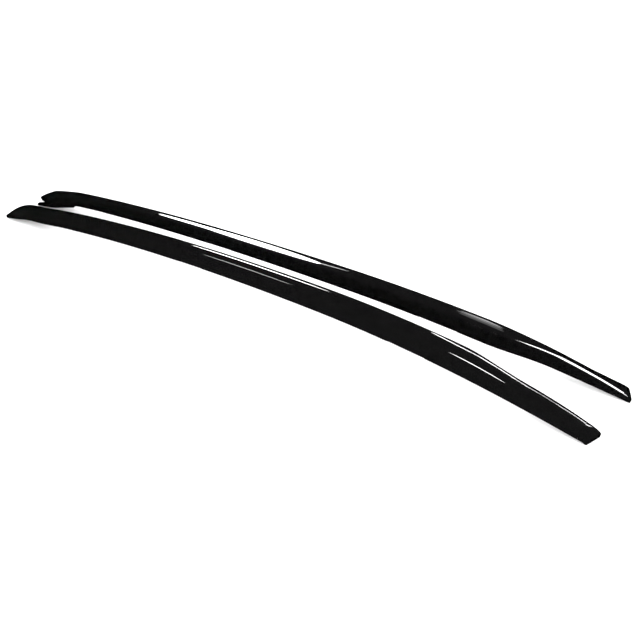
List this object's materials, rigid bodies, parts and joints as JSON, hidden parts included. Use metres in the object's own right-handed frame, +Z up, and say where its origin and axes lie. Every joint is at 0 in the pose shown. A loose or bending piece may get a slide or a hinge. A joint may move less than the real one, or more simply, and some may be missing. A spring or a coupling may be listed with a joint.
{
  "type": "pair of roof side rails",
  "caption": "Pair of long, low, gently arched roof side rails in gloss black, tapered at the nose, with mounting clips, pads and screws underneath.",
  "frame": {"origin": "on the ground, midway between the two rails and midway along them, where the pair stands on its noses and tails", "axes": "+X from the noses to the tails, +Y from the left rail to the right rail, +Z up"},
  "size_m": [1.7162, 0.136, 0.1003],
  "materials": {
    "rail_paint": "high gloss black paint over an aluminium extrusion",
    "foot_paint": "high gloss black moulding",
    "joiner": "plain drawn bar",
    "small_screw": "bright zinc plate",
    "clip": "bright zinc plate on folded sheet",
    "pad": "smooth matt rubber",
    "roof_screw": "black coated steel"
  },
  "bodies": {
    "root": {"left_bar": "rail_paint", "left_front_foot": "foot_paint", "left_rear_foot": "foot_paint", "left_tail_cap": "foot_paint", "left_front_joiner": "joiner", "left_rear_joiner": "joiner", "left_joiner_screws": "small_screw", "left_front_clip": "clip", "left_middle_clip": "clip", "left_rear_clip": "clip", "left_front_pad": "pad", "left_middle_pad": "pad", "left_rear_pad": "pad", "left_front_screws": "roof_screw", "left_middle_screws": "roof_screw", "left_rear_screws": "roof_screw", "right_bar": "rail_paint", "right_front_foot": "foot_paint", "right_rear_foot": "foot_paint", "right_tail_cap": "foot_paint", "right_front_joiner": "joiner", "right_rear_joiner": "joiner", "right_joiner_screws": "small_screw", "right_front_clip": "clip", "right_middle_clip": "clip", "right_rear_clip": "clip", "right_front_pad": "pad", "right_middle_pad": "pad", "right_rear_pad": "pad", "right_front_screws": "roof_screw", "right_middle_screws": "roof_screw", "right_rear_screws": "roof_screw"}
  },
  "joints": []
}
